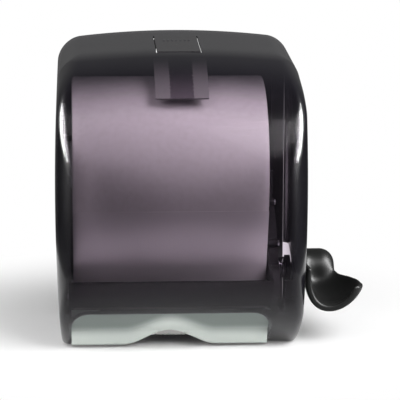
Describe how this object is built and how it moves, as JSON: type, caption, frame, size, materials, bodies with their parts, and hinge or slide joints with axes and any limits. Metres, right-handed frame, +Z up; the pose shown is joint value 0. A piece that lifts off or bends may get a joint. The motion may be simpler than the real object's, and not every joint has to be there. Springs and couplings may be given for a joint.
{
  "type": "lever paper towel dispenser",
  "caption": "Wall-hung paper towel roll dispenser with a see-through smoke cover that swings down, a roller feed worked by a side lever, and a light grey paper chute.",
  "frame": {"origin": "middle of the wall screw pattern, on the wall face of the back plate", "axes": "+X to the right seen from the front, +Y into the wall, +Z up, so the front faces -Y"},
  "size_m": [0.3289, 0.216, 0.324],
  "materials": {
    "smoke_plastic": "clear smoke, polished",
    "smoke_tab": "clear smoke, polished",
    "black_housing": "fine moulded grain",
    "black_lever": "satin",
    "grey_chute": "cloudy light grey",
    "steel": "bright",
    "white_plastic": "moulded",
    "black_rubber": "matt",
    "grey_roller": "moulded",
    "towel_paper": "soft embossed",
    "core_board": "plain"
  },
  "bodies": {
    "case": {"back_housing": "black_housing", "latch_keeper": "black_housing", "hinge_pins": "steel", "arm_pins": "steel", "left_frame": "black_housing", "right_frame": "black_housing", "gearbox_cover": "black_housing", "frame_screws": "steel", "gearbox_screws": "steel", "roller_guard": "black_housing", "paper_chute": "grey_chute", "web_guide": "black_housing", "tear_bar": "steel", "tear_bar_screws": "steel", "feed_bushes": "white_plastic", "lever_bushes": "white_plastic", "pinch_blocks": "white_plastic", "pinch_springs": "steel", "lever_spring": "steel", "lever_stop": "black_rubber", "paper_web": "towel_paper"},
    "cover": {"front_cover": "smoke_plastic", "latch_bracket": "black_housing", "latch_pin": "steel"},
    "latch": {"latch_tab": "smoke_tab"},
    "lever_set": {"lever": "black_lever", "lever_shaft": "steel", "sector_gear": "white_plastic", "spring_collar": "black_housing", "lever_screw": "steel"},
    "feed_roller": {"feed_shaft": "steel", "feed_grips": "black_rubber", "drive_pinion": "white_plastic", "clutch_drum": "white_plastic"},
    "pinch_roller": {"pinch_shaft": "steel", "pinch_rollers": "grey_roller"},
    "roll": {"paper_roll": "towel_paper", "roll_core": "core_board"},
    "left_roll_arm": {"left_arm": "black_housing", "left_hub": "white_plastic"},
    "right_roll_arm": {"right_arm": "black_housing", "right_hub": "white_plastic"}
  },
  "joints": [
    {"name": "cover_swing", "type": "hinge", "parent": "case", "child": "cover", "pos_m": [0, -0.014, -0.15], "axis": [1, 0, 0], "range_deg": [0, 95]},
    {"name": "latch_press", "type": "hinge", "parent": "cover", "child": "latch", "pos_m": [0, -0.1095, 0.14466], "axis": [1, 0, 0], "range_deg": [-3, 1], "stiffness_Nm_per_rad": 2, "springref_deg": 1.72},
    {"name": "lever_press", "type": "hinge", "parent": "case", "child": "lever_set", "pos_m": [0.15, -0.05, -0.098], "axis": [1, 0, 0], "range_deg": [0, 45], "stiffness_Nm_per_rad": 0.4, "springref_deg": -28.65},
    {"name": "feed_turn", "type": "hinge", "parent": "case", "child": "feed_roller", "pos_m": [0, -0.13662, -0.09442], "axis": [1, 0, 0], "range_deg": [-292.6, 0]},
    {"name": "pinch_turn", "type": "hinge", "parent": "case", "child": "pinch_roller", "pos_m": [0, -0.15785, -0.10327], "axis": [1, 0, 0], "range_deg": [0, 512]},
    {"name": "roll_spin", "type": "hinge", "parent": "case", "child": "roll", "pos_m": [0, -0.101, 0.028], "axis": [1, 0, 0], "continuous": true},
    {"name": "left_arm_flex", "type": "hinge", "parent": "case", "child": "left_roll_arm", "pos_m": [-0.1195, -0.011, 0.028], "axis": [0, 0, 1], "range_deg": [-4.5, 0], "stiffness_Nm_per_rad": 3, "springref_deg": 5.73},
    {"name": "right_arm_flex", "type": "hinge", "parent": "case", "child": "right_roll_arm", "pos_m": [0.0955, -0.011, 0.028], "axis": [0, 0, 1], "range_deg": [0, 4.5], "stiffness_Nm_per_rad": 3, "springref_deg": -5.73}
  ],
  "couplings": [
    {"joint": "feed_turn", "follows": "lever_press", "ratio": -6.5},
    {"joint": "pinch_turn", "follows": "lever_press", "ratio": 11.375}
  ]
}
